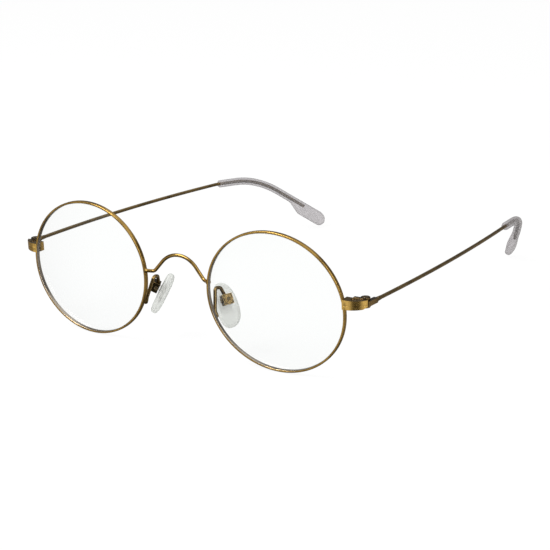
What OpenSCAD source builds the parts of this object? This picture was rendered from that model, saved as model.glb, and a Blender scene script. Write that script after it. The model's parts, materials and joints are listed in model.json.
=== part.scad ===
/* [Lenses] */
// Longer axis of each lens, measured across its edge tongue
lens_w = 46; // [42:0.5:50]
// Shorter axis of each lens
lens_h = 42.2; // [38:0.2:48]
// Angle by which the longer axis drops towards the temple
lens_drop = 11; // [0:0.5:20]
// Distance between the two lenses across the nose
bridge_gap = 23.5; // [20:0.5:28]
// Thickness of each lens
lens_t = 1.4; // [1:0.1:1.8]
// Radius of the front surface of each lens
lens_curve = 115; // [80:5:200]

/* [Front] */
// Angle by which each rim turns back towards its temple
wrap = 3.4; // [0:0.1:6]
// Angle by which the top of the front leans forwards
panto = 2.2; // [1:0.1:8]
// Width of the eyewire, seen from the front
rim_w = 0.7; // [0.6:0.05:1.3]
// Depth of the eyewire from front to back
rim_depth = 1.4; // [1.2:0.05:2.2]
// Depth of the groove that holds the lens
groove = 0.3; // [0.2:0.05:0.45]
// Width of the groove
groove_w = 0.8; // [0.7:0.05:1]

/* [Bridge] */
// Diameter of the bridge wire
bridge_d = 1.1; // [1:0.1:1.5]
// Height of the middle of the bridge above the lens centres
bridge_rise = 9; // [6:0.2:12]
// Distance that the middle of the bridge stands behind the lens planes
bridge_set = 1.5; // [0:0.1:3]
// Height above the lens centres at which the bridge joins the eyewires
bridge_join = 2.9; // [0:0.1:5]
// Radius of the small bend at each end of the bridge
bridge_bend = 1.3; // [0.9:0.1:1.5]

/* [End pieces] */
// Height of each end piece at the eyewire
end_h = 2.9; // [2.8:0.05:3.6]
// Height by which each end piece narrows towards the hinge
end_narrow = 0.3; // [0:0.1:1]
// Height of the middle of each end piece above the lens centre
end_rise = 2.8; // [0:0.05:4]
// Distance by which each end piece stands in front of the eyewire
end_proud = 0.1; // [0:0.05:0.3]
// Distance from the eyewire to the start of an end piece's curve
end_straight = 0.6; // [0.4:0.05:1.5]
// Radius of the curved front face of each end piece
end_curve = 6.2; // [5.6:0.1:7]
// Depth of each end piece behind the middle of the eyewire
end_back = 2.55; // [2.3:0.05:2.9]
// Share of an end piece's height that the lower closing block takes
split_share = 0.45; // [0.4:0.01:0.5]
// Diameter of the closing screw's shank
closing_d = 1.2; // [1:0.1:1.4]
// Diameter of the closing screw's head
closing_head_d = 1.9; // [1.6:0.1:2.2]

/* [Hinges] */
// Distance from the eyewire out to the hinge axis
hinge_out = 4.5; // [4.3:0.1:5.6]
// Distance from the back of the end piece to the hinge axis
hinge_behind = 1.6; // [1.6:0.05:2]
// Height of the middle of the hinge above the lens centre
hinge_rise = 2.85; // [0:0.05:4]
// Diameter of the hinge barrels
barrel_d = 2.9; // [2.6:0.1:3]
// Height of the temple's barrel
barrel_mid_h = 1.5; // [1.3:0.1:1.8]
// Height of each outer barrel
barrel_end_h = 0.7; // [0.6:0.05:0.9]
// Gap between one barrel and the next
barrel_gap = 0.05; // [0.03:0.01:0.1]
// Diameter of the hinge screw's shank
hinge_screw_d = 1.1; // [0.9:0.1:1.2]
// Diameter of the hinge screw's head
hinge_head_d = 2; // [1.8:0.1:2.1]

/* [Temples] */
// Length of each temple from the hinge to the end of its tip, along its bends
temple_l = 150.5; // [135:0.5:155]
// Diameter of the temple wire
temple_d = 1.15; // [1:0.05:1.4]
// Distance by which the temple wire runs outside the hinge axis
temple_out = 1.41; // [1.3:0.01:1.6]
// Outward angle at which each temple leaves the hinge
splay = 0.9; // [0:0.1:2]
// Inward angle of each temple ahead of the ear
bow_in = 6.9; // [5:0.1:9]
// Straight wire between the butt's taper and the temple's long bow
bow_lead = 1.6; // [0.5:0.1:4]
// Height of the butt at the front of each temple
butt_h = 1.5; // [1.3:0.05:1.6]
// Width of the butt at the front of each temple
butt_w = 1.45; // [1.35:0.05:1.5]

/* [Tips] */
// Length of each plastic tip along its bends
tip_l = 53; // [45:0.5:60]
// Length of the tip behind its bend
drop_l = 34.2; // [28:0.2:36]
// Diameter of the tip's tube
tip_d = 2.7; // [2.4:0.1:3.2]
// Radius of the bend behind the ear
ear_bend = 35; // [25:1:36]
// Inward angle of the tip behind its bend
drop_in = 30.3; // [20:0.1:35]
// Downward angle of the tip behind its bend
drop_down = 33.8; // [28:0.1:40]
// Length of the widened paddle at the end of the tip
paddle_l = 12.5; // [9:0.5:14]
// Width of the paddle
paddle_w = 5.6; // [5:0.1:6.4]
// Length over which the tube widens into the paddle
paddle_blend = 5; // [3:0.5:6]
// Distance from the end of the tip to the end of the wire inside it
core_short = 10.5; // [6:0.5:12]

/* [Nose pads] */
// Length of each nose pad
pad_l = 14.2; // [12:0.2:16]
// Width of each nose pad
pad_w = 7.2; // [6:0.2:8]
// Thickness of each nose pad
pad_t = 2.4; // [2.2:0.1:2.8]
// Inward lean of the top of each pad
pad_lean = 26; // [18:1:32]
// Backward lean of the top of each pad
pad_back = 8.8; // [4:0.2:14]
// Angle by which each pad faces inwards from straight back
pad_turn = 60; // [50:1:70]
// Distance from the middle of the nose to each pad's screw
pad_reach = 13.2; // [12.6:0.1:14]
// Distance of each pad's screw behind the bridge end of the eyewires
pad_set = 7.08; // [6.6:0.02:8]
// Distance of each pad's screw below the lens centres
pad_drop = 4.38; // [3.6:0.02:5]
// Diameter of the pad arm's wire
arm_d = 1.1; // [0.9:0.05:1.2]
// Width of the box that holds each pad, along its screw
box_w = 3.1; // [2.8:0.1:3.4]
// Height of that box, along the pad
box_h = 3.2; // [2.8:0.1:3.4]
// Diameter of the pad screw's shank
pad_screw_d = 0.8; // [0.7:0.05:0.9]

/* [Fits] */
// Gap left between pieces that are brazed, glued or screwed together
seat = 0.02; // [0.01:0.01:0.04]
// Gap round a shank that turns in its hole
run = 0.05; // [0.03:0.01:0.08]

/* [Hidden] */
$fn = 48;
brass = [0.65, 0.49, 0.22];
dark_brass = [0.45, 0.34, 0.16];

// Unit vector along v
function unit(v) = v / norm(v);
// Angle between two directions
function turn(a, b) = acos(min(1, unit(a) * unit(b)));
// Direction that points back, turned inwards and down by the given angles
function heading(inwards, down) =
    [-sin(inwards) * cos(down), cos(inwards) * cos(down), -sin(down)];

// Point or direction on the left side, or its mirror image on the right one
function on_side(p, side) = [side * p[0], p[1], p[2]];

// Half extent, along the direction at angle a, of the oval that runs e outside the lens
function extent(e, a) =
    norm([(lens_w / 2 + e) * cos(a + lens_drop), (lens_h / 2 + e) * sin(a + lens_drop)]);
// Distance from the lens centre to that oval, measured at angle a
function reach(e, a) =
    1 / norm([cos(a + lens_drop) / (lens_w / 2 + e), sin(a + lens_drop) / (lens_h / 2 + e)]);

// Ovals of the eyewire, counted from the lens edge, and the places of the lens centres
rim_in = -groove;
rim_out = rim_w - groove;
rim_mid = rim_w / 2 - groove;
half_front = extent(0, 0) + bridge_gap / 2;
rim_y = extent(rim_mid, 0) * sin(wrap);
rim_z = extent(rim_out, 90) * cos(panto) + rim_depth / 2 * sin(panto);
rim_centre = [half_front, rim_y, rim_z];

// Directions of one rim: outwards, backwards and up
out_dir = [cos(wrap), sin(wrap), 0];
back_dir = [-sin(wrap) * cos(panto), cos(wrap) * cos(panto), sin(panto)];
up_dir = cross(out_dir, back_dir);
// Point given by its distances from a lens centre: outwards, back and up
function rim_point(o, b, u) = rim_centre + o * out_dir + b * back_dir + u * up_dir;

// Levels and outline of the end piece, in the directions of its rim
end_low = end_rise - end_h / 2;
end_top = end_rise + end_h / 2;
end_split = end_low + split_share * end_h;
end_front = -rim_depth / 2 - end_proud;
end_angle = atan(2 * end_rise / lens_w);
end_rim = reach(rim_out, end_angle) * cos(end_angle);
end_corner = end_rim + end_straight;
end_inner = end_rim - 0.65;
closing_out = end_rim + 2.45;
closing_back = 1.1;
closing_head_h = 0.5;
block_gap = 0.04;

// Hinge axis and the levels of its barrels
hinge_o = end_rim + hinge_out;
hinge_b = end_back + hinge_behind;
hinge_point = rim_point(hinge_o, hinge_b, hinge_rise);
mid_low = hinge_rise - barrel_mid_h / 2;
mid_top = hinge_rise + barrel_mid_h / 2;
hinge_low = mid_low - barrel_gap - barrel_end_h;
hinge_top = mid_top + barrel_gap + barrel_end_h;
hinge_head_h = 0.35;
slot_w = 0.28;

// Centre line of the temple: bow, kink ahead of the tip, bend behind the ear, end
kink_r = 28;
kink_back = 1.3;
drop_dir = heading(drop_in, drop_down);
ear_dir = heading(bow_in + 3.9, 4.8);
ear_turn = turn(ear_dir, drop_dir);
ear_saved = ear_bend * (2 * tan(ear_turn / 2) - ear_turn * PI / 180);
straight_l = (temple_l - tip_l - kink_back) / 2;
ear_l = tip_l + kink_back + ear_saved - drop_l;
temple_dir = heading(-splay, 0);
temple_start = rim_point(hinge_o + temple_out, hinge_b, hinge_rise);
bow_point = temple_start + straight_l * temple_dir;
kink_point = bow_point + straight_l * heading(bow_in, 1.3);
ear_point = kink_point + ear_l * ear_dir;
temple_end = ear_point + drop_l * drop_dir;
// Direction across the tip towards the inside of its bend
paddle_dir = unit(cross(cross(ear_dir, drop_dir), drop_dir));
butt_front = 1.4;
butt_back = 3.4;
bury = 2;
taper_l = 3.2;
bow_turn = turn(temple_dir, heading(bow_in, 1.3));
bow_r = (straight_l - butt_back - taper_l / 2 - bow_lead) / tan(bow_turn / 2);
wire_end = temple_end - core_short * drop_dir;

// Place and directions of the nose pad: screw axis, along the pad, towards the nose
pad_point = [pad_reach, pad_set, rim_z - pad_drop];
pad_up = [-sin(pad_lean), sin(pad_back), sqrt(1 - pow(sin(pad_lean), 2) - pow(sin(pad_back), 2))];
pad_face0 = [-sin(pad_turn), cos(pad_turn), 0];
pad_face = unit(pad_face0 - (pad_face0 * pad_up) * pad_up);
pad_across = cross(pad_up, pad_face);
pad_low = 1.3;
pad_off = pad_t + 0.15;
box_front = 1.7;
box_open = 0.75;
tongue_w = 1.1;
tongue_r = 0.8;
insert_size = [3.6, 5, 0.6];
pad_sides = 40;
pad_rings = 8;
pad_head_h = 0.3;

// Centre line of the pad arm: foot on the eyewire, two bends over the top, box
arm_back = rim_depth / 2 + arm_d / 2 - 0.1;
arm_r = reach(rim_mid, 200) + 0.25;
foot_low = rim_point(-arm_r * cos(22), arm_back, -arm_r * sin(22));
foot_top = rim_point(-arm_r * cos(17), arm_back, -arm_r * sin(17));
arm_front = pad_point + [-1.7, -3.35, 4.5];
arm_rear = pad_point + [-1.35, -1.1, 3.9];
arm_end = pad_point + [-0.65, 0.2, 1.1];
arm_bend = 1.1;

// Half of the bridge: join at the eyewire, small bend, shoulder of the arch
bridge_y = bridge_set;
join_angle = 180 - atan(2 * bridge_join / lens_w);
join_point = rim_point(reach(rim_mid, join_angle) * cos(join_angle), -0.1, bridge_join);
low_point = [join_point[0] - 2.55, bridge_y - 0.25, rim_z + bridge_join - 0.2];
top_z = rim_z + bridge_rise;
arch_slope = 48.8;
shoulder_x = low_point[0] - (top_z - low_point[2]) / tan(arch_slope);
shoulder = [shoulder_x, bridge_y, top_z];
arch_turn = turn(shoulder - low_point, [-1, 0, 0]);
arch_r = 0.98 * shoulder_x / tan(arch_turn / 2);

// Distance that puts the middle of the whole frame, from front to back, at zero
front_y = rim_y - rim_depth / 2 * back_dir[1]
    - norm([out_dir[1], up_dir[1]]) * extent(rim_out, atan2(up_dir[1], out_dir[1]));
rear_y = temple_end[1] + tip_d / 2 * (1 - drop_dir[1]);
centre_y = -(front_y + rear_y) / 2;

// Children moved to point p, with their z axis turned along d
module aimed(p, d) {
    x = unit(cross([0, 0, 1], d));
    y = cross(d, x);
    multmatrix([[x[0], y[0], d[0], p[0]], [x[1], y[1], d[1], p[1]], [x[2], y[2], d[2], p[2]],
        [0, 0, 0, 1]]) children();
}

// Round wire through the points, with an arc of the given radius at each inner one and a
// thin collar where each arc meets a straight run
module bent_wire(points, radii, d) {
    bead = 0.02;
    last = len(points) - 1;
    turns = [for (i = [0:last]) i == 0 || i == last ? 0
        : turn(points[i] - points[i - 1], points[i + 1] - points[i])];
    cuts = [for (i = [0:last]) i == 0 || i == last ? 0 : radii[i - 1] * tan(turns[i] / 2)];
    for (i = [0:last - 1]) {
        leg = points[i + 1] - points[i];
        from = i == 0 ? 0 : cuts[i] + bead;
        to = norm(leg) - (i == last - 1 ? 0 : cuts[i + 1] + bead);
        aimed(points[i] + unit(leg) * from, unit(leg)) cylinder(h = to - from, d = d);
    }
    for (i = [1:last - 1]) {
        a = unit(points[i] - points[i - 1]);
        b = unit(points[i + 1] - points[i]);
        axis = unit(cross(a, b));
        x = cross(a, axis);
        begin = points[i] - a * cuts[i];
        o = begin - x * radii[i - 1];
        skip = bead / radii[i - 1] * 180 / PI;
        multmatrix([[x[0], a[0], axis[0], o[0]], [x[1], a[1], axis[1], o[1]],
            [x[2], a[2], axis[2], o[2]], [0, 0, 0, 1]])
            rotate([0, 0, skip])
                rotate_extrude(angle = turns[i] - 2 * skip, $fn = ceil(3600 / turns[i]))
                    translate([radii[i - 1], 0]) circle(d = d, $fn = 48);
        aimed(begin, a) cylinder(h = 0.12, d = d + bead, center = true);
        aimed(points[i] + b * cuts[i], b) cylinder(h = 0.12, d = d + bead, center = true);
    }
}

// Children placed in the directions of the rim: x outwards, y back, z up
module on_rim() {
    translate(rim_centre) rotate([panto, 0, wrap]) children();
}

// Children placed about the pad screw: x along it, y up the pad, z towards the nose
module on_pad() {
    a = pad_across;
    b = pad_up;
    c = pad_face;
    multmatrix([[a[0], b[0], c[0], pad_point[0]], [a[1], b[1], c[1], pad_point[1]],
        [a[2], b[2], c[2], pad_point[2]], [0, 0, 0, 1]]) children();
}

// Flat oval plate that runs e outside the lens, with its thickness from front to back
module oval_plate(e, h) {
    outline = [for (i = [0:143]) [(lens_w / 2 + e) * cos(2.5 * i), (lens_h / 2 + e) * sin(2.5 * i)]];
    rotate([90, 0, 0]) rotate(-lens_drop) linear_extrude(height = h, center = true) polygon(outline);
}

// Plate as wide and deep as the eyewire, which trims what is brazed to it
module rim_space() {
    oval_plate(rim_out + seat, rim_depth + 2 * seat);
}

// Round head with a screwdriver slot, its top at z = 0
module slotted_head(d, h) {
    difference() {
        translate([0, 0, -h]) cylinder(d = d, h = h);
        translate([-d, -slot_w / 2, -0.2]) cube([2 * d, slot_w, 1]);
    }
}

// Grooved eyewire, slit at the end piece so that the lens can go in
module rim() {
    color(brass) on_rim() difference() {
        oval_plate(rim_out, rim_depth);
        oval_plate(rim_in, 2 * rim_depth);
        oval_plate(0, groove_w);
        translate([end_rim - 3, -rim_depth, end_split - block_gap / 2]) cube([6, 2 * rim_depth, block_gap]);
    }
}

// Meniscus lens with a tongue round its edge
module lens() {
    edge_r = (lens_w + lens_h) / 4 - groove;
    centre = lens_t / 2 - sqrt(pow(lens_curve, 2) - pow(edge_r, 2));
    color([0.85, 0.9, 0.9, 0.35]) on_rim() {
        intersection() {
            oval_plate(rim_in - seat, lens_w);
            rotate([90, 0, 0]) difference() {
                translate([0, 0, centre]) sphere(r = lens_curve, $fn = 360);
                translate([0, 0, centre]) sphere(r = lens_curve - lens_t, $fn = 360);
            }
        }
        difference() {
            oval_plate(-seat, groove_w - 2 * seat);
            oval_plate(rim_in - 0.5, groove_w);
        }
    }
}

// Whole end piece: curved in plan, narrower towards the hinge, cut round the eyewire
module end_piece() {
    hinge_end = end_corner + sqrt(pow(end_curve, 2) - pow(end_curve + end_front - end_back, 2));
    difference() {
        intersection() {
            linear_extrude(height = 4 * end_h, center = true) union() {
                intersection() {
                    translate([end_corner, end_front + end_curve]) circle(r = end_curve, $fn = 120);
                    translate([end_corner, end_front - 1]) square([end_curve, 1 + end_back - end_front]);
                }
                translate([end_inner, end_front + seat])
                    square([end_corner - end_inner + seat, end_back - end_front - seat]);
            }
            rotate([90, 0, 0]) linear_extrude(height = 4 * end_curve, center = true) polygon([
                [end_inner - 1, end_low], [end_corner, end_low],
                [hinge_end - 0.9, end_low + end_narrow / 2], [hinge_end + 0.3, end_low + end_narrow / 2 + 0.8],
                [hinge_end + 0.3, end_top - end_narrow / 2], [end_corner, end_top],
                [end_inner - 1, end_top]]);
        }
        rim_space();
    }
}

// Upper closing block, with the head of the closing screw sunk in it
module closing_block_upper() {
    color(brass) on_rim() difference() {
        end_piece();
        translate([0, 0, end_split + block_gap / 2 - end_h])
            translate([end_inner - 2, -end_curve, 0]) cube([3 * end_curve, 3 * end_curve, end_h]);
        translate([closing_out, closing_back, 0]) {
            cylinder(d = closing_d + 2 * seat, h = 3 * end_h);
            translate([0, 0, end_top - closing_head_h - 0.25]) cylinder(d = closing_head_d + 2 * run, h = end_h);
        }
    }
}

// Lower closing block, which the closing screw is threaded into
module closing_block_lower() {
    color(brass) on_rim() difference() {
        end_piece();
        translate([end_inner - 2, -end_curve, end_split - block_gap / 2])
            cube([3 * end_curve, 3 * end_curve, end_h]);
        translate([closing_out, closing_back, end_low + 0.3]) cylinder(d = closing_d + 2 * seat, h = end_h);
    }
}

// Screw that draws the two closing blocks together
module closing_screw() {
    top = end_top - 0.22;
    color(dark_brass) on_rim() translate([closing_out, closing_back, 0]) {
        translate([0, 0, top]) rotate([0, 0, 35]) slotted_head(closing_head_d, closing_head_h);
        translate([0, 0, end_low + 0.35]) cylinder(d = closing_d, h = top - closing_head_h / 2 - end_low - 0.35);
    }
}

// Front half of the hinge: a leaf brazed behind the end piece, and its two barrels
module front_hinge() {
    leaf_in = barrel_d / 2 + 1.7;
    leaf_b = end_back + seat;
    clear = barrel_d / 2 + run;
    color(brass) on_rim() difference() {
        for (z = [hinge_low, mid_top + barrel_gap]) {
            translate([hinge_o, hinge_b, z]) cylinder(d = barrel_d, h = barrel_end_h);
            translate([hinge_o - leaf_in, leaf_b, z]) cube([leaf_in, 1.05, barrel_end_h]);
        }
        translate([hinge_o, hinge_b, 0]) {
            cylinder(d = hinge_screw_d + 2 * seat, h = 3 * end_h);
            translate([0, 0, hinge_top - hinge_head_h - 0.02]) cylinder(d = hinge_head_d + 2 * run, h = 1);
        }
    }
    color(brass) on_rim() difference() {
        translate([hinge_o - leaf_in, leaf_b, hinge_low]) cube([1.5, 1.05, hinge_top - hinge_low]);
        translate([hinge_o, hinge_b, 0]) cylinder(r = clear, h = 3 * end_h);
    }
}

// Screw that the temple turns on
module hinge_screw() {
    color(dark_brass) on_rim() translate([hinge_o, hinge_b, 0]) {
        translate([0, 0, hinge_top + 0.08]) rotate([0, 0, -25]) slotted_head(hinge_head_d, hinge_head_h);
        translate([0, 0, hinge_low + 0.1])
            cylinder(d = hinge_screw_d, h = hinge_top - hinge_head_h / 2 - hinge_low - 0.1);
    }
}

// Temple half of the hinge: one barrel, and the butt that holds the temple wire
module temple_hinge() {
    clear_r = barrel_d / 2 + 2 * run;
    color(brass) difference() {
        union() {
            on_rim() translate([hinge_o, hinge_b, mid_low]) cylinder(d = barrel_d, h = barrel_mid_h);
            difference() {
                aimed(temple_start, temple_dir) translate([-butt_w / 2, -butt_h / 2, -butt_front])
                    cube([butt_w, butt_h, butt_front + butt_back]);
                on_rim() translate([hinge_o, hinge_b, mid_top - 0.01]) cylinder(r = clear_r, h = end_h);
                on_rim() translate([hinge_o, hinge_b, mid_low + 0.01 - end_h]) cylinder(r = clear_r, h = end_h);
            }
        }
        on_rim() translate([hinge_o, hinge_b, 0]) cylinder(d = hinge_screw_d + 2 * run, h = 2 * end_h);
        aimed(temple_start, temple_dir) translate([0, 0, butt_back - bury - seat])
            cylinder(d = temple_d - 0.25 + 2 * seat, h = 2 * bury);
    }
}

// Temple wire, tapered at the butt and ending inside the plastic tip; side is 1 or -1
module temple(side) {
    line = [temple_start + (butt_back + taper_l / 2) * temple_dir, bow_point, kink_point, ear_point, wire_end];
    color(brass) {
        bent_wire([for (p = line) on_side(p, side)], [bow_r, kink_r, ear_bend], temple_d);
        aimed(on_side(temple_start + (butt_back + seat) * temple_dir, side), on_side(temple_dir, side)) {
            cylinder(d1 = butt_w - 0.03, d2 = temple_d - 0.08, h = taper_l);
            translate([0, 0, -bury]) cylinder(d = temple_d - 0.25, h = bury + 0.5);
        }
    }
}

// Clear plastic tip: a bored tube round the wire that widens into a paddle
module temple_tip() {
    r = tip_d / 2;
    widen = paddle_w - tip_d;
    full = temple_end - paddle_l * drop_dir;
    neck = full - paddle_blend * drop_dir;
    wide = full + widen * 0.9 * paddle_dir + 0.5 * drop_dir;
    tube_start = kink_point + kink_back * ear_dir;
    color([0.72, 0.71, 0.74, 0.8]) difference() {
        union() {
            bent_wire([tube_start, ear_point, full], [ear_bend], tip_d);
            hull() for (p = [neck, full, wide]) translate(p) sphere(d = tip_d + 0.06, $fn = 24);
            hull() for (p = [full, wide, temple_end - (r + 2) * drop_dir + widen * paddle_dir,
                temple_end - (r + 0.6) * drop_dir + widen * 0.75 * paddle_dir, temple_end - r * drop_dir])
                translate(p) sphere(d = tip_d + 0.06, $fn = 24);
        }
        bent_wire([kink_point - 4 * heading(bow_in, 1.3), kink_point, ear_point, wire_end + seat * drop_dir],
            [kink_r, ear_bend], temple_d + 2 * seat);
    }
}

// Bridge: one bent wire, brazed to both eyewires
module bridge() {
    half = [join_point, low_point, shoulder];
    color(brass) difference() {
        bent_wire([for (p = half) [-p[0], p[1], p[2]], for (i = [2:-1:0]) half[i]],
            [bridge_bend, arch_r, arch_r, bridge_bend], bridge_d);
        for (s = [0, 1]) mirror([s, 0, 0]) on_rim() rim_space();
    }
}

// Pad arm: a bent wire, brazed behind the eyewire and to the top of its box
module pad_arm() {
    color(brass) difference() {
        bent_wire([foot_low, foot_top, arm_front, arm_rear, arm_end], [2.5, arm_bend, arm_bend], arm_d);
        on_rim() rim_space();
        on_pad() translate([-box_w, -2 * box_h, -box_w]) cube([2 * box_w, 2.5 * box_h + seat, 2 * box_w]);
    }
}

// Box that the pad's tongue hangs in, with a raised round cap on its outer face
module pad_box() {
    slot = tongue_w / 2 + run;
    color(brass) on_pad() difference() {
        union() {
            translate([-box_w / 2, -box_h / 2, -box_front]) cube([box_w, box_h, box_front + box_open]);
            translate([0, 0, -box_front - 0.25]) cylinder(d = box_h - 0.8, h = 0.5);
        }
        translate([0, 0, -box_front - 0.3]) cylinder(d = box_h - 1.6, h = 0.2);
        translate([-slot, -box_h, -tongue_r - 0.15])
            cube([2 * slot, 1.5 * box_h - 0.4, tongue_r + box_open + 1]);
        rotate([0, 90, 0]) cylinder(d = pad_screw_d + 2 * seat, h = 2 * box_w, center = true);
    }
}

// Screw across the box, on which the pad rocks
module pad_screw() {
    color(dark_brass) on_pad() {
        rotate([0, 90, 0]) translate([0, 0, -box_w / 2 + 0.1]) cylinder(d = pad_screw_d, h = box_w);
        translate([box_w / 2 + seat + pad_head_h, 0, 0]) rotate([0, 90, 0])
            slotted_head(pad_screw_d + 0.6, pad_head_h);
    }
}

// Stiff core of the pad: a plate inside the silicone, and the tongue in the box
module pad_insert() {
    plate = insert_size;
    color([0.8, 0.8, 0.78]) on_pad() difference() {
        union() {
            rotate([0, 90, 0]) cylinder(r = tongue_r, h = tongue_w, center = true);
            translate([-tongue_w / 2, -tongue_r, 0]) cube([tongue_w, 2 * tongue_r, pad_off]);
            translate([-plate[0] / 2, -pad_low - plate[1] / 2, pad_off - plate[2] / 2]) cube(plate);
        }
        rotate([0, 90, 0]) cylinder(d = pad_screw_d + 2 * run, h = 2 * box_w, center = true);
    }
}

// Point of the pad's skin: k counts rings from the outer face to the nose face, j goes round
function pad_skin(k, j) = let (
        a = 360 * j / pad_sides,
        v = 180 * k / pad_rings - 90,
        spread = pow(cos(v), 0.25),
        side = cos(a) > 0 ? 0.41 : 0.59,
        w = pad_w * side * (1 - 0.1 * sin(a)) * cos(a) / pow(pow(abs(cos(a)), 2.3) + pow(abs(sin(a)), 2.3), 1 / 2.3),
        l = pad_l / 2 * sin(a) / pow(pow(abs(cos(a)), 2.3) + pow(abs(sin(a)), 2.3), 1 / 2.3))
    [w * spread, l * spread, pad_t / 2 * sin(v)];

// Soft silicone pad, crowned on both faces, moulded round its insert
module nose_pad() {
    rings = [for (k = [1:pad_rings - 1]) [for (j = [0:pad_sides - 1]) pad_skin(k, j)]];
    n = pad_sides;
    last = (pad_rings - 2) * n;
    points = concat([for (r = rings) each r], [[0, 0, -pad_t / 2], [0, 0, pad_t / 2]]);
    under = len(points) - 2;
    over = len(points) - 1;
    faces = concat(
        [for (k = [0:pad_rings - 3]) for (j = [0:n - 1]) each
            [[k * n + j, (k + 1) * n + j, k * n + (j + 1) % n],
             [(k + 1) * n + j, (k + 1) * n + (j + 1) % n, k * n + (j + 1) % n]]],
        [for (j = [0:n - 1]) [under, j, (j + 1) % n]],
        [for (j = [0:n - 1]) [over, last + (j + 1) % n, last + j]]);
    color([0.85, 0.86, 0.84, 0.7]) on_pad() difference() {
        translate([0, -pad_low, pad_off]) polyhedron(points, faces);
        translate([-insert_size[0] / 2 - seat, -pad_low - insert_size[1] / 2 - seat, pad_off - insert_size[2] / 2 - seat])
            cube(insert_size + 2 * seat * [1, 1, 1]);
        translate([-tongue_w / 2 - seat, -tongue_r - seat, 0]) cube([tongue_w + 2 * seat, 2 * (tongue_r + seat), pad_off]);
    }
}

translate([0, centre_y, 0]) bridge();
for (s = ["left", "right"]) translate([0, centre_y, 0]) mirror([s == "right" ? 1 : 0, 0, 0]) {
    rim();
    lens();
    closing_block_upper();
    closing_block_lower();
    closing_screw();
    front_hinge();
    hinge_screw();
    temple_hinge();
    temple_tip();
    pad_arm();
    pad_box();
    pad_screw();
    pad_insert();
    nose_pad();
}
translate([0, centre_y, 0]) temple(1);  // left_temple
translate([0, centre_y, 0]) temple(-1);  // right_temple
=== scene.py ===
import json
from math import atan, atan2, cos, hypot, pi, radians, sin, tan

import bmesh
import bpy
import numpy as np
from mathutils import Matrix, Vector

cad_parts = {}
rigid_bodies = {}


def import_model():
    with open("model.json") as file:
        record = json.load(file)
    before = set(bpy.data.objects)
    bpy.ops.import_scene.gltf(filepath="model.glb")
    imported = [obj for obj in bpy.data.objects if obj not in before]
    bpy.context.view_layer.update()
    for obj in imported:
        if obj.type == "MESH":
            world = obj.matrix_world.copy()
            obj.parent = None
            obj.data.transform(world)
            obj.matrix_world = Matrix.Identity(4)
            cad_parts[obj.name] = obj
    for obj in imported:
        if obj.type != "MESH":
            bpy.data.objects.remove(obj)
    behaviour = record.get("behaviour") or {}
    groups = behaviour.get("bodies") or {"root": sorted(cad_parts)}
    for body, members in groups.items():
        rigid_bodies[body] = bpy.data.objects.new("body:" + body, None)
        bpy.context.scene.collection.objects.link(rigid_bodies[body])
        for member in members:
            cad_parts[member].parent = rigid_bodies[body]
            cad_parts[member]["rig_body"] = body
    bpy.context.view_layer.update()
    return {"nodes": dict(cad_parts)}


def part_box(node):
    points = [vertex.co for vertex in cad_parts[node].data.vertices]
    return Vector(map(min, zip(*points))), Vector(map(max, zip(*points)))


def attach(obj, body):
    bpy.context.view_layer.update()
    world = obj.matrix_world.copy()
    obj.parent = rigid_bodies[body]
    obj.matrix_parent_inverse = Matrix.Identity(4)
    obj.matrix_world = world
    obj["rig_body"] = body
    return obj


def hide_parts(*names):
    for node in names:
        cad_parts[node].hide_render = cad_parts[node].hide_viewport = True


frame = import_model()

# Eyewires: one brass wire of nearly square section round each lens, bent into a rounded oval
# whose outer end droops a little. It is left open at the end piece, and each rim leans
# and turns back slightly. Its edges are softly rounded, and its inner side, which faces the lens,
# is coloured greyer as a painted reflection.
lens_w, lens_h, lens_drop = 46.0, 42.2, radians(11)
wrap, panto = radians(3.4), radians(2.2)
rim_w, rim_depth, groove, bridge_gap = 0.7, 1.4, 0.3, 23.5


def extent(e, a):
    """Half extent, along the direction at angle a, of the oval that runs e outside the lens."""
    return hypot((lens_w / 2 + e) * cos(a + lens_drop), (lens_h / 2 + e) * sin(a + lens_drop))


def reach(e, a):
    """Distance from the lens centre to that oval, measured at angle a."""
    return 1 / hypot(cos(a + lens_drop) / (lens_w / 2 + e), sin(a + lens_drop) / (lens_h / 2 + e))


rim_mid, rim_out = rim_w / 2 - groove, rim_w - groove
out_dir = np.array([cos(wrap), sin(wrap), 0])
back_dir = np.array([-sin(wrap) * cos(panto), cos(wrap) * cos(panto), sin(panto)])
up_dir = np.cross(out_dir, back_dir)
rim_y = extent(rim_mid, 0) * sin(wrap)
rim_z = extent(rim_out, pi / 2) * cos(panto) + rim_depth / 2 * sin(panto)
front_y = rim_y - rim_depth / 2 * back_dir[1] - hypot(out_dir[1], up_dir[1]) * extent(
    rim_out, atan2(up_dir[1], out_dir[1]))
centre_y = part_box("left_rim")[0][1] * 1000 - front_y
rim_centre = np.array([extent(0, 0) + bridge_gap / 2, rim_y + centre_y, rim_z])


def rim_point(o, b, u):
    """Point given by its distances from a lens centre, in mm: outwards, back and up."""
    o, b, u = np.broadcast_arrays(o, b, u)
    return rim_centre + o[..., None] * out_dir + b[..., None] * back_dir + u[..., None] * up_dir


def oval_point(e, t, b):
    """Point of the oval that runs e outside the lens, at parameter t along it and b behind its plane:
    half width times cosine and half height times sine, turned down by the droop."""
    x, y = (lens_w / 2 + e) * np.cos(t), (lens_h / 2 + e) * np.sin(t)
    return rim_point(x * cos(lens_drop) + y * sin(lens_drop), b, y * cos(lens_drop) - x * sin(lens_drop))


def squarer(wave, power):
    """Cosine or sine raised to a power below 1 with its sign kept, which squares a round section."""
    return np.sign(wave) * np.abs(wave) ** power


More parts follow.
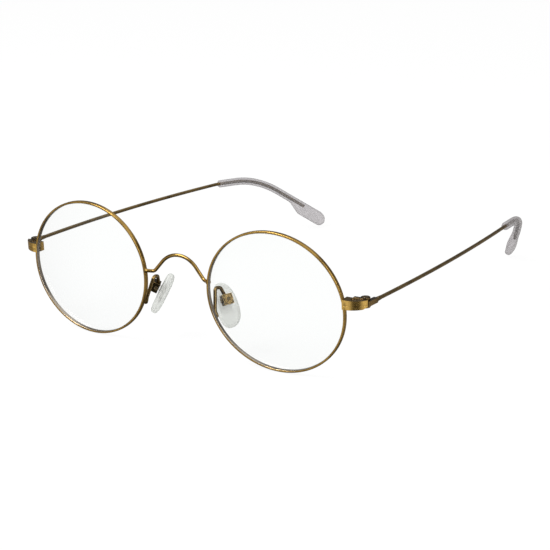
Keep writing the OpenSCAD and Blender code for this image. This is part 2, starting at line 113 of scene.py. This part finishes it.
def skin(name, points, body, node, crease=50):
    """Mesh through a grid of points in mm, with rows along the piece and columns round it. The last column
    meets the first, and each end closes with a fan to its middle. Its UV map has the length along the piece
    in mm, and the share of the way round."""
    rows, cols = points.shape[:2]
    index = np.arange(rows * cols).reshape(rows, cols)
    here, ahead = index[:-1], index[1:]
    quads = np.stack([here, np.roll(here, -1, 1), np.roll(ahead, -1, 1), ahead], -1).reshape(-1, 4)
    spots = np.vstack([points.reshape(-1, 3), points[0].mean(0), points[-1].mean(0)])
    steps = np.linalg.norm(np.diff(points.mean(1), axis=0), axis=1)
    along = np.concatenate([[0], np.cumsum(steps)])
    near, far = np.repeat(along[:-1], cols), np.repeat(along[1:], cols)
    turn = np.tile(np.arange(cols) / cols, len(here))
    uv = np.stack([near, turn, near, turn + 1 / cols, far, turn + 1 / cols, far, turn], -1).reshape(-1, 2)
    faces = quads.tolist()
    for ring, hub, a in ((index[0][::-1], rows * cols, 0.0), (index[-1], rows * cols + 1, along[-1])):
        fan = np.stack([ring, np.roll(ring, -1), np.full(cols, hub)], -1)
        faces += fan.tolist()
        uv = np.vstack([uv, np.tile([a, 0.5], (3 * cols, 1))])
    corners = spots[np.vstack([quads[:, [0, 1, 2]], quads[:, [0, 2, 3]], faces[len(quads):]])]
    volume = (corners[:, 0] * np.cross(corners[:, 1], corners[:, 2])).sum()
    mesh = bpy.data.meshes.new(name)
    mesh.from_pydata((spots / 1000).tolist(), [], faces)
    mesh.uv_layers.new(name="UVMap").data.foreach_set("uv", uv.astype(np.float32).ravel())
    if volume < 0:
        mesh.flip_normals()
    mesh.shade_smooth()
    mesh.set_sharp_from_angle(angle=radians(crease))
    piece = bpy.data.objects.new(name, mesh)
    bpy.context.scene.collection.objects.link(piece)
    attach(piece, body)
    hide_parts(node)
    return piece


class Signal:
    """Value in a material's node tree. Sums, products, differences and powers of it add their Math nodes."""

    def __init__(self, finish, socket):
        self.finish, self.socket = finish, socket

    def maths(self, operation, a, b):
        return self.finish.node("ShaderNodeMath", {"operation": operation}, {0: a, 1: b})

    def __add__(self, other):
        return self.maths("ADD", self, other)

    def __sub__(self, other):
        return self.maths("SUBTRACT", self, other)

    def __rsub__(self, other):
        return self.maths("SUBTRACT", other, self)

    def __mul__(self, other):
        return self.maths("MULTIPLY", self, other)

    def __pow__(self, other):
        return self.maths("POWER", self, other)

    __radd__, __rmul__ = __add__, __mul__


class Finish:
    """Material, or the world, built node by node."""

    def __init__(self, name, block=None):
        self.block = block or bpy.data.materials.new(name)
        self.block.use_nodes = True
        self.tree = self.block.node_tree
        self.tree.nodes.clear()

    def node(self, kind, settings=None, sockets=None, out=0):
        """New node: first its settings, a ramp's stops among them, then its sockets' values or links."""
        made = self.tree.nodes.new(kind)
        for key, value in (settings or {}).items():
            if key == "stops":
                ramp = made.color_ramp.elements
                while len(ramp) < len(value):
                    ramp.new(0.5)
                for stop, (place, colour) in zip(ramp, value):
                    stop.position, stop.color = place, (*colour, 1)
            else:
                setattr(made, key, value)
        for key, value in (sockets or {}).items():
            if isinstance(value, Signal):
                self.tree.links.new(value.socket, made.inputs[key])
            else:
                made.inputs[key].default_value = value
        return Signal(self, made.outputs[out])

    def place(self, uv=False):
        """Object coordinates in metres, or the UV map's."""
        return self.node("ShaderNodeTexCoord", out=2 if uv else 3)

    def noise(self, size_mm, detail):
        """Cloudy noise from 0 to 1 whose patches are about size_mm across."""
        return self.node("ShaderNodeTexNoise", None,
                         {"Vector": self.place(), "Scale": 1000 / size_mm, "Detail": detail})

    def ramp(self, signal, low, high):
        """Signal stretched so that low gives 0 and high gives 1, and cut off beyond them."""
        return self.node("ShaderNodeMapRange", {"clamp": True}, {0: signal, 1: low, 2: high, 3: 0.0, 4: 1.0})

    def mix(self, share, a, b):
        """Colour between a and b, all b where share is 1."""
        a, b = [c if isinstance(c, Signal) else (*c, 1) for c in (a, b)]
        return self.node("ShaderNodeMix", {"data_type": "RGBA"}, {0: share, 6: a, 7: b}, out=2)

    def bump(self, height, depth_mm, strength):
        """Normal bent by the height signal, which stands for depth_mm at 1."""
        return self.node("ShaderNodeBump", None,
                         {"Height": height, "Distance": depth_mm / 1000, "Strength": strength})

    def end(self, shader):
        """Links the shader to the output, and gives back the material or world."""
        on_world = isinstance(self.block, bpy.types.World)
        kind = "ShaderNodeOutputWorld" if on_world else "ShaderNodeOutputMaterial"
        self.tree.links.new(shader.socket, self.tree.nodes.new(kind).inputs[0])
        return self.block


def antique_brass(name, gold, shade, patina, rough, painted_inner_reflection=None, wear_and_painted_glint=None, painted_shade_and_patina=None):
    """Plated brass: gold with soft darker clouds of patina and fine drawn grain. The colour for the inner
    side,
    if any, is a painted reflection: a greyer colour on the side of the wire that faces the lens. The colour
    for painted shade lies on faces that look up, as painted shade, and in recesses, where little open air is
    left within recess_mm, as painted shade together with patina. The edge colour is that of rubbed edges,
    made bright
    partly as a painted highlight: there the normal averaged over edge_mm turns away from the surface's own."""
    recess_mm, edge_mm = 1.0, 0.16
    f = Finish(name)
    cloud = f.ramp(f.noise(6, 4), 0.42, 0.66)
    speck = f.noise(0.5, 5)
    colour = f.mix(cloud * patina, gold, shade)
    colour = f.mix(f.ramp(speck, 0.5, 0.8) * 0.35, colour, shade)
    # painted reflection: the side of the wire that faces the lens is coloured greyer
    if painted_inner_reflection:
        round_share = f.node("ShaderNodeSeparateXYZ", None, {0: f.place(uv=True)}, out=1)
        side = f.ramp(round_share, 0.33, 0.38) * (1 - f.ramp(round_share, 0.62, 0.67))
        colour = f.mix(side * 0.85, colour, painted_inner_reflection)
    # painted shade: faces that look up are darkened, and so are recesses found by ambient occlusion, where
    # the darkening is partly patina
    if painted_shade_and_patina:
        rise = f.node("ShaderNodeSeparateXYZ", None, {0: f.node("ShaderNodeNewGeometry", out=1)}, out=2)
        air = f.node("ShaderNodeAmbientOcclusion", {"samples": 8}, {"Distance": recess_mm / 1000}, out=1)
        colour = f.mix(f.ramp(rise, 0.55, 0.8), colour, painted_shade_and_patina)
        colour = f.mix(f.ramp(air, 0.95, 0.7), colour, painted_shade_and_patina)
    # rubbed edges brightened: partly wear, partly a painted highlight on the edges
    if wear_and_painted_glint:
        soft = f.node("ShaderNodeBevel", {"samples": 6}, {0: edge_mm / 1000})
        own = f.node("ShaderNodeNewGeometry", out=1)
        match = f.node("ShaderNodeVectorMath", {"operation": "DOT_PRODUCT"}, {0: soft, 1: own}, out=1)
        colour = f.mix(f.ramp(match, 0.995, 0.94), colour, wear_and_painted_glint)
    shader = f.node("ShaderNodeBsdfPrincipled", None, {
        "Base Color": colour, "Metallic": 0.96,
        "Roughness": f.ramp(speck, 0.2, 0.8) * 0.1 + rough,
        "Normal": f.bump(speck, 0.008, 0.3)})
    return f.end(shader)


# the eyewires' inner side carries a painted reflection in a greyer colour
rim_brass = antique_brass("rim_brass", (0.5, 0.31, 0.08), (0.19, 0.115, 0.035), 0.7, 0.16,
                          painted_inner_reflection=(0.5, 0.45, 0.4))
end_h, end_rise, split_share, half_slit = 2.9, 2.8, 0.45, 0.001
split_angle = atan((end_rise - end_h / 2 + split_share * end_h) / (lens_w / 2))
split_t = atan2(sin(split_angle + lens_drop) / lens_h, cos(split_angle + lens_drop) / lens_w)
# rows run round the oval from one side of the slit to the other, and the columns round the wire's section,
# whose two coordinates are the cosine and the sine raised to a small power, for rounded edges
t, a = np.meshgrid(np.linspace(split_t + half_slit, split_t + 2 * pi - half_slit, 361),
                   np.arange(36) * pi / 18, indexing="ij")
e = rim_mid + rim_w / 2 * squarer(np.cos(a), 0.45)
b = -rim_depth / 2 * squarer(np.sin(a), 0.4)
for side, flip in (("left", 1), ("right", -1)):
    rim = skin(side + "_eyewire", oval_point(e, t, b) * [flip, 1, 1], "front", side + "_rim")
    rim.data.materials.append(rim_brass)

# Lenses: clear ground lenses, slightly bowed forwards, whose edges sit in the eyewires' grooves.
# Nothing but a faint sheen shows of them.
lens_t, lens_curve, lens_seat = 1.4, 115.0, 0.02
lens_clear = Finish("lens_clear")
slant = lens_clear.node("ShaderNodeLayerWeight", None, {0: 0.5}, out=1)
lens_clear.end(lens_clear.node("ShaderNodeMixShader", None, {
    0: slant ** 5 * 0.9 + 0.02,
    1: lens_clear.node("ShaderNodeBsdfTransparent", None, {0: (0.985, 0.99, 0.988, 1)}),
    2: lens_clear.node("ShaderNodeBsdfGlossy", None, {"Roughness": 0.03, "Color": (1, 1, 1, 1)})}))
edge_r = (lens_w + lens_h) / 4 - groove
bow = lens_t / 2 - (lens_curve**2 - edge_r**2) ** 0.5
# rows run out over the front sphere and back in over the rear one, and columns round the oval
rows = 26
share = np.concatenate([np.linspace(0.03, 1, rows), np.linspace(1, 0.03, rows)])
s, t = np.meshgrid(share, np.arange(180) * pi / 90, indexing="ij")
size = (lens_w / 2 - groove - lens_seat) / (lens_w / 2)
flat = (oval_point(0, t, 0) - rim_centre) * (s * size)[..., None]
r = np.linalg.norm(flat, axis=-1)
ball = np.where(np.arange(len(share))[:, None] < rows, lens_curve, lens_curve - lens_t)
depth = -(bow + np.sqrt(ball**2 - r**2))
points = rim_centre + flat + depth[..., None] * back_dir
for side, flip in (("left", 1), ("right", -1)):
    lens = skin(side + "_clear_lens", points * [flip, 1, 1], "front", side + "_lens", crease=30)
    lens.data.materials.append(lens_clear.block)

# Bridge: one round brass wire, arched over the nose, with a small bend at each end where it
# runs forwards to the eyewire and is brazed to it with a little fillet of solder.
bridge_d, bridge_rise, bridge_set, bridge_join, bridge_bend = 1.1, 9.0, 1.5, 2.9, 1.3
foot_in, foot_fore, foot_drop = 2.55, 0.25, 0.2
arch_slope, arch_share, fillet_h, fillet_l = radians(48.8), 0.98, 0.3, 0.55


def unit(v):
    return np.asarray(v) / np.linalg.norm(v)


def bent_line(points, radii, step=0.25):
    """Line through the points with an arc of the given radius at each inner one: the arc starts and ends
    where it touches both legs, and its points are the centre plus the turned spoke."""
    points = [np.asarray(p, float) for p in points]
    line = [points[0]]
    for before, corner, after, r in zip(points, points[1:], points[2:], radii):
        a, b = unit(corner - before), unit(after - corner)
        angle = np.arccos(np.clip(a @ b, -1, 1))
        start = corner - a * r * tan(angle / 2)
        inward = unit(b - a * (a @ b))
        w = np.linspace(0, angle, max(8, int(r * angle / step)))[:, None]
        arc = start + inward * r - inward * r * np.cos(w) + a * r * np.sin(w)
        leg = np.linalg.norm(start - line[-1])
        share = np.linspace(0, 1, max(2, int(leg / step)))[1:-1, None]
        line += [*(line[-1] + (start - line[-1]) * share), *arc]
    leg = np.linalg.norm(points[-1] - line[-1])
    share = np.linspace(0, 1, max(2, int(leg / step)))[1:, None]
    return np.array([*line, *(line[-1] + (points[-1] - line[-1]) * share)])


def tube(line, across, half_a, half_b, power=2.0, shift=0.0, cols=28):
    """Wire along a line: each section is a rounded oval, half_a wide along the sideways direction and half_b
    along the other one, whose coordinates are the cosine and sine raised to 2 over power. shift moves the
    section sideways. across is the direction that the sections' sideways one is square to."""
    ahead = np.gradient(line, axis=0)
    ahead /= np.linalg.norm(ahead, axis=1)[:, None]
    sideways = np.cross(ahead, across)
    sideways /= np.linalg.norm(sideways, axis=1)[:, None]
    other = np.cross(sideways, ahead)
    a = np.arange(cols) * 2 * pi / cols
    column = [np.broadcast_to(v, len(line))[:, None] for v in (half_a, half_b, 2 / np.asarray(power), shift)]
    x = column[0] * squarer(np.cos(a), column[2]) + column[3]
    y = column[1] * squarer(np.sin(a), column[2])
    return line[:, None] + x[..., None] * sideways[:, None] + y[..., None] * other[:, None]


def run_length(line):
    """Distance along the line to each of its points."""
    return np.concatenate([[0], np.cumsum(np.linalg.norm(np.diff(line, axis=0), axis=1))])


join_angle = pi - atan(2 * bridge_join / lens_w)
join = rim_point(reach(rim_mid, join_angle) * cos(join_angle), -0.1, bridge_join)
low = np.array([join[0] - foot_in, bridge_set - foot_fore + centre_y, rim_z + bridge_join - foot_drop])
crest_z = rim_z + bridge_rise
shoulder = np.array([low[0] - (crest_z - low[2]) / tan(arch_slope), bridge_set + centre_y, crest_z])
arch_turn = np.arccos(unit(shoulder - low) @ [-1, 0, 0])
arch_r = arch_share * shoulder[0] / tan(arch_turn / 2)
half = [join, low, shoulder]
line = bent_line([p * [-1, 1, 1] for p in half] + half[::-1],
                 [bridge_bend, arch_r, arch_r, bridge_bend], 0.15)
s = run_length(line)
r = bridge_d / 2 + fillet_h * np.exp(-((np.minimum(s, s[-1] - s) / fillet_l) ** 2))
bridge = skin("bridge_wire", tube(line, [0, 1, 0], r, r), "front", "bridge")
bridge_brass = antique_brass("bridge_brass", (0.44, 0.275, 0.075), (0.11, 0.07, 0.022), 0.8, 0.12)
bridge.data.materials.append(bridge_brass)

# End pieces and hinges: each end piece is two small brass blocks, milled to the curve of the
# front and drawn together by a screw sunk in the upper one. A leaf with two barrels is brazed
# behind it, the temple's barrel turns between them, and a slotted screw holds all three.


def softened(node, name, width_mm, finish, angle=30):
    """Copy of a CAD node with its loose triangles merged, flat faces joined, and its edges bevelled."""
    body = frame["nodes"][node]["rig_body"]
    mesh = frame["nodes"][node].data.copy()
    mesh.name = name
    bm = bmesh.new()
    bm.from_mesh(mesh)
    bmesh.ops.remove_doubles(bm, verts=bm.verts, dist=2e-6)
    bmesh.ops.dissolve_limit(bm, angle_limit=radians(1), verts=bm.verts, edges=bm.edges)
    bm.to_mesh(mesh)
    bm.free()
    mesh.materials.clear()
    mesh.materials.append(finish)
    mesh.shade_smooth()
    mesh.set_sharp_from_angle(angle=radians(angle))
    piece = bpy.data.objects.new(name, mesh)
    bpy.context.scene.collection.objects.link(piece)
    bevel = piece.modifiers.new("worn_edges", "BEVEL")
    bevel.width, bevel.segments = width_mm / 1000, 3
    bevel.limit_method, bevel.angle_limit = "ANGLE", radians(angle)
    bevel.harden_normals = True
    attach(piece, body)
    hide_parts(node)
    return piece


# the end blocks and hinge leaves carry painted shade on their upward faces and in their recesses
end_brass = antique_brass("end_piece_brass", (0.8, 0.51, 0.14), (0.4, 0.25, 0.07), 0.35, 0.1,
                          painted_shade_and_patina=(0.3, 0.2, 0.075))
hinge_brass = antique_brass("hinge_brass", (0.36, 0.23, 0.08), (0.1, 0.065, 0.025), 0.7, 0.18,
                            painted_shade_and_patina=(0.09, 0.06, 0.028))
screw_metal = antique_brass("screw_metal", (0.3, 0.23, 0.13), (0.08, 0.06, 0.035), 0.5, 0.2)
for side in ("left", "right"):
    softened(side + "_closing_block_upper", side + "_upper_block", 0.16, end_brass)
    softened(side + "_closing_block_lower", side + "_lower_block", 0.16, end_brass)
    softened(side + "_closing_screw", side + "_block_screw", 0.05, screw_metal)
    softened(side + "_front_hinge", side + "_hinge_leaf", 0.08, hinge_brass)
    softened(side + "_temple_hinge", side + "_temple_butt", 0.12, hinge_brass)
    softened(side + "_hinge_screw", side + "_pivot_screw", 0.05, screw_metal)

# Temples: a round brass wire each, tapered from the butt, bowed in along the head, kinked
# slightly ahead of the ear and bent down behind it, where it ends inside the clear tip.
end_back, hinge_behind, hinge_out, hinge_rise, temple_out = 2.55, 1.6, 4.5, 2.85, 1.41
temple_l, tip_l, drop_l, kink_back, core_short = 150.5, 53.0, 34.2, 1.3, 10.5
bow_r, kink_bend, ear_bend, splay, bow_in = 600.0, 28.0, 35.0, 0.9, 6.9
kink_down, ear_in, ear_down, drop_in, drop_down = 1.3, 3.9, 4.8, 30.3, 33.8


def heading(inwards, down):
    """Direction that points back, turned inwards and down by the given angles in degrees."""
    i, d = radians(inwards), radians(down)
    return np.array([-sin(i) * cos(d), cos(i) * cos(d), -sin(d)])


root_dir, bow_dir = heading(-splay, 0), heading(bow_in, kink_down)
ear_dir, drop_dir = heading(bow_in + ear_in, ear_down), heading(drop_in, drop_down)
ear_turn = np.arccos(ear_dir @ drop_dir)
straight_l = (temple_l - tip_l - kink_back) / 2
ear_l = tip_l + kink_back + ear_bend * (2 * tan(ear_turn / 2) - ear_turn) - drop_l
end_angle = atan(2 * end_rise / lens_w)
root_o = reach(rim_out, end_angle) * cos(end_angle) + hinge_out + temple_out
root = rim_point(root_o, end_back + hinge_behind, hinge_rise)
bow_point = root + straight_l * root_dir
kink = bow_point + straight_l * bow_dir
ear = kink + ear_l * ear_dir
tip_end = ear + drop_l * drop_dir
butt_end, tenon_l = 3.4, 1.9
tenon_start, core_end = root + (butt_end - tenon_l) * root_dir, tip_end - core_short * drop_dir
line = bent_line([tenon_start, bow_point, kink, ear, core_end], [bow_r, kink_bend, ear_bend], 0.5)
# radius of the tenon in the butt, of the collar that tapers down behind it, and of the drawn wire
r = np.interp(run_length(line), [0, tenon_l - 0.05, tenon_l, 2.3, 5.1, 5.6],
              [0.4, 0.4, 0.66, 0.71, 0.56, 0.575])
wire_grid = tube(line, [0, 0, 1], r, r, cols=24)
temple_brass = antique_brass("temple_brass", (0.31, 0.21, 0.085), (0.1, 0.075, 0.04), 0.65, 0.2)
for side, flip in (("left", 1), ("right", -1)):
    wire = skin(side + "_temple_wire", wire_grid * [flip, 1, 1], side + "_temple_arm", side + "_temple")
    wire.data.materials.append(temple_brass)

# Tips: clear, faintly lilac plastic moulded over the end of each temple wire, which shows
# through it. The round tube follows the wire's bend and widens downwards into a flat paddle.
tip_d, paddle_w, paddle_l, blend_l = 2.7, 5.6, 12.5, 5.0
mouth_round, end_round, edge_round = 0.3, 2.9, 0.9
tip_clear = Finish("tip_plastic")
glancing = tip_clear.node("ShaderNodeLayerWeight", None, {0: 0.35}, out=1)
haze = tip_clear.noise(3, 2)
tip_body = tip_clear.node("ShaderNodeBsdfPrincipled", None, {
    "Base Color": tip_clear.mix(haze, (0.31, 0.3, 0.305), (0.38, 0.365, 0.375)), "Roughness": 0.18,
    "Coat Weight": 0.3, "IOR": 1.48})
tip_clear.end(tip_clear.node("ShaderNodeMixShader", None, {
    0: glancing * 0.5 + 0.26,
    1: tip_clear.node("ShaderNodeBsdfTransparent", None, {0: (0.88, 0.865, 0.87, 1)}), 2: tip_body}))


def rounded(distance, radius):
    """Quarter circle that rises from 0 to 1 as the distance from an end grows to the radius."""
    return np.sqrt(1 - (1 - np.clip(distance / radius, 0, 1)) ** 2)


line = bent_line([kink + kink_back * ear_dir, ear, tip_end], [ear_bend], 0.3)
s = run_length(line)
left = s[-1] - s
# w is the share of the paddle in the section, and grows from 0 to 1 over the blend without a corner
w = np.clip((paddle_l + blend_l - left) / (blend_l + 1), 0, 1)
w = w * w * (3 - 2 * w)
mouth = np.sqrt(0.75 + 0.25 * rounded(s, mouth_round) ** 2)
half_wide = (tip_d + (paddle_w - tip_d) * w) / 2 * (0.05 + 0.95 * rounded(left, end_round)) * mouth
half_thick = (tip_d / 2 - 0.1 * w) * (0.2 + 0.8 * rounded(left, edge_round)) * mouth
tip_grid = tube(line, unit(np.cross(ear_dir, drop_dir)), half_wide, half_thick, 2 + 1.1 * w,
                (tip_d - paddle_w) / 2 * w, 40)
for side, flip in (("left", 1), ("right", -1)):
    tip = skin(side + "_clear_tip", tip_grid * [flip, 1, 1], side + "_temple_arm", side + "_temple_tip")
    tip.data.materials.append(tip_clear.block)

# Nose pads: a thin brass arm is brazed behind each eyewire, loops over and ends in a small box
# with a ringed cap. A screw through the box holds the tongue of a hard insert, round which
# the soft clear silicone pad is moulded, so that the pad can rock.
pad_lean, pad_back, pad_turn = radians(26), radians(8.8), radians(60)
pad_l, pad_w, pad_t, pad_low, pad_full, pad_gap, pad_square = 14.2, 7.2, 2.4, 1.3, 2.75, 0.15, 2.3
pad_point = np.array([13.2, 7.08 + centre_y, rim_z - 4.38])
pad_up = np.array([-sin(pad_lean), sin(pad_back), (1 - sin(pad_lean) ** 2 - sin(pad_back) ** 2) ** 0.5])
face0 = np.array([-sin(pad_turn), cos(pad_turn), 0])
pad_face = unit(face0 - (face0 @ pad_up) * pad_up)
pad_across = np.cross(pad_up, pad_face)
arm_d = 1.1
arm_r, arm_back = reach(rim_mid, radians(200)) + 0.25, rim_depth / 2 + arm_d / 2 - 0.1
arm_feet = [rim_point(-arm_r * cos(radians(a)), arm_back, -arm_r * sin(radians(a))) for a in (22, 17)]
arm_brass = antique_brass("arm_brass", (0.26, 0.175, 0.065), (0.08, 0.055, 0.025), 0.7, 0.18)
# the pad boxes' edges are brightened, partly as wear and partly as a painted highlight
box_brass = antique_brass("box_brass", (0.07, 0.05, 0.022), (0.03, 0.022, 0.012), 0.7, 0.2,
                          wear_and_painted_glint=(0.6, 0.4, 0.14))
core_clear = Finish("pad_core_plastic")
edge_on = core_clear.node("ShaderNodeLayerWeight", None, {0: 0.5}, out=1)
core_body = core_clear.node("ShaderNodeBsdfPrincipled", None, {
    "Base Color": core_clear.mix(core_clear.noise(1, 2), (0.16, 0.14, 0.13), (0.1, 0.09, 0.09)),
    "Roughness": 0.3})
core_clear.end(core_clear.node("ShaderNodeMixShader", None, {
    0: edge_on ** 2 * 0.8 + 0.04,
    1: core_clear.node("ShaderNodeBsdfTransparent", None, {0: (0.97, 0.97, 0.96, 1)}), 2: core_body}))
silicone = Finish("silicone")
rim_light = silicone.node("ShaderNodeLayerWeight", None, {0: 0.5}, out=1)
soft = silicone.noise(2.5, 3)
silicone_body = silicone.node("ShaderNodeBsdfPrincipled", None, {
    "Base Color": silicone.mix(soft, (0.56, 0.58, 0.55), (0.66, 0.67, 0.65)),
    "Roughness": silicone.ramp(soft, 0.2, 0.8) * 0.12 + 0.32, "IOR": 1.42,
    "Normal": silicone.bump(silicone.noise(0.8, 2), 0.02, 0.3)})
silicone.end(silicone.node("ShaderNodeMixShader", None, {
    0: rim_light * 0.4 + 0.42,
    1: silicone.node("ShaderNodeBsdfTransparent", None, {0: (0.97, 0.97, 0.96, 1)}), 2: silicone_body}))
# the arm's bends and its end, seen from the pad's screw: it rises ahead of the pad, loops over and comes down
arm_loop = np.array([[-1.7, -3.35, 4.5], [-1.35, -1.1, 3.9], [-0.65, 0.2, 1.1]])
line = bent_line([*arm_feet, *(pad_point + arm_loop)], [2.5, 1.1, 1.1], 0.12)
s = run_length(line)
# the foot's end is rounded, and a bead of solder swells it 1 mm further on
foot = np.sqrt(0.3 + 0.7 * rounded(s, 0.5) ** 2)
r = arm_d / 2 * foot + 0.12 * np.exp(-(((s - 1) / 0.8) ** 2))
arm_grid = tube(line, [1, 0, 0], r, r)
# rows run from the outer face to the nose face: the outline, a squarish oval wider on one side, is scaled
# by a power of the cosine of v, higher on the nose side, which is rounder, and the height is half the
# thickness times one plus the sine of v
v, a = np.meshgrid(np.linspace(-pi / 2 + 0.06, pi / 2 - 0.06, 28), np.arange(72) * pi / 36, indexing="ij")
q = (np.abs(np.cos(a)) ** pad_square + np.abs(np.sin(a)) ** pad_square) ** (1 / pad_square)
wide = pad_w * np.where(np.cos(a) > 0, 0.41, 0.59) * (1 - 0.1 * np.sin(a)) * np.cos(a) / q
tall = pad_l / 2 * np.sin(a) / q
spread = np.cos(v) ** np.where(v > 0, 0.34, 0.16)
deep = pad_full / 2 * (np.sin(v) + 1) + pad_t / 2 + pad_gap
pad_grid = (pad_point + (wide * spread)[..., None] * pad_across
            + (tall * spread - pad_low)[..., None] * pad_up + deep[..., None] * pad_face)
for side, flip in (("left", 1), ("right", -1)):
    arm = skin(side + "_arm_wire", arm_grid * [flip, 1, 1], "front", side + "_pad_arm")
    arm.data.materials.append(arm_brass)
    softened(side + "_pad_box", side + "_box", 0.2, box_brass)
    softened(side + "_pad_screw", side + "_box_screw", 0.05, screw_metal)
    softened(side + "_pad_insert", side + "_insert", 0.1, core_clear.block)
    pad = skin(side + "_silicone_pad", pad_grid * [flip, 1, 1], side + "_pad", side + "_nose_pad")
    pad.data.materials.append(silicone.block)

# Studio: a white floor that keeps a soft shadow, a room that is bright overhead and dark below
# in the metal's mirroring, one large soft lamp above and to the left, and a weaker one on the right.
floor_mesh = bpy.data.meshes.new("studio_floor")
floor_mesh.from_pydata([(-3, -3, 0), (3, -3, 0), (3, 3, 0), (-3, 3, 0)], [], [(0, 1, 2, 3)])
floor = bpy.data.objects.new("studio_floor", floor_mesh)
bpy.context.scene.collection.objects.link(floor)
floor.location.z = -0.0002
paper = Finish("white_paper")
path = paper.tree.nodes.new("ShaderNodeLightPath").outputs
white = paper.node("ShaderNodeMixShader", None, {
    0: Signal(paper, path["Is Camera Ray"]) * 0.92,
    1: paper.node("ShaderNodeBsdfDiffuse", None, {0: (0.9, 0.9, 0.9, 1)}),
    2: paper.node("ShaderNodeEmission", None, {0: (1, 1, 1, 1), 1: 1.0})})
floor_mesh.materials.append(paper.end(paper.node("ShaderNodeMixShader", None, {
    0: Signal(paper, path["Is Glossy Ray"]), 1: white,
    2: paper.node("ShaderNodeBsdfTransparent", None, {0: (1, 1, 1, 1)})})))
world = bpy.data.worlds.new("studio")
bpy.context.scene.world = world
room = Finish("studio", world)
path = room.tree.nodes.new("ShaderNodeLightPath").outputs
seen = Signal(room, path["Is Camera Ray"]) + Signal(room, path["Is Transmission Ray"])
way = room.node("ShaderNodeTexCoord", out=0)
height = room.node("ShaderNodeSeparateXYZ", None, {0: way}, out=2)
# the room gets darker behind the frame, far to the left and below, and above the horizon up to a white
# ceiling, and darkest round the camera
behind = room.ramp(room.node("ShaderNodeSeparateXYZ", None, {0: way}, out=1), 0.0, 0.5)
band = room.mix(behind, (0.74, 0.73, 0.7), (0.32, 0.31, 0.3))
leftwards = room.node("ShaderNodeSeparateXYZ", None, {0: way}, out=0)
band = room.mix(room.ramp(leftwards, -0.64, -0.85), band, (0.24, 0.23, 0.22))
band = room.mix(room.ramp(height, -0.35, -0.75), band, (0.06, 0.057, 0.05))
sky = room.mix(room.ramp(height, 0.0, 0.3), band, (0.15, 0.15, 0.15))
camera_way = (0.556, -0.831, 0)
ahead = room.node("ShaderNodeVectorMath", {"operation": "DOT_PRODUCT"}, {0: way, 1: camera_way}, out=1)
sky = room.mix(room.ramp(ahead, 0.72, 0.9), sky, (0.05, 0.048, 0.045))
sky = room.mix(room.ramp(height, 0.5, 0.75), sky, (1, 1, 1))
room.end(room.node("ShaderNodeBackground", None, {
    0: room.mix(seen, sky, (1, 1, 1)), 1: 1.0}))
for name, place, size, watts in (("key", (-0.35, -0.55, 0.75), 0.5, 9.0),
                                 ("fill", (0.8, -0.3, 0.5), 0.7, 5.0)):
    lamp = bpy.data.lights.new(name, "AREA")
    lamp.energy, lamp.size = watts, size
    light = bpy.data.objects.new(name, lamp)
    bpy.context.scene.collection.objects.link(light)
    light.location = place
    light.rotation_euler = (-Vector(place)).to_track_quat("-Z", "Y").to_euler()

# Camera: the photograph's own place and angle, worked out from both rims and both temples.
azimuth, elevation, roll, distance = radians(33.79), radians(16.96), radians(-0.91), 499.51
target = np.array([35.7, centre_y + rim_y - 1.4, rim_z + 8.81])
back = np.array([sin(azimuth) * cos(elevation), -cos(azimuth) * cos(elevation), sin(elevation)])
right = np.array([cos(azimuth), sin(azimuth), 0])
up = np.cross(back, right)
camera = bpy.data.objects.new("camera", bpy.data.cameras.new("camera"))
bpy.context.scene.collection.objects.link(camera)
camera.data.lens, camera.data.sensor_width = 112.99, 36
camera.data.clip_start = 0.05
rolled_right, rolled_up = right * cos(roll) + up * sin(roll), up * cos(roll) - right * sin(roll)
turned = Matrix(np.stack([rolled_right, rolled_up, back], 1).tolist())
camera.matrix_world = Matrix.Translation(Vector((target + back * distance) / 1000)) @ turned.to_4x4()
bpy.context.scene.camera = camera
bpy.context.scene.view_settings.view_transform = "Standard"
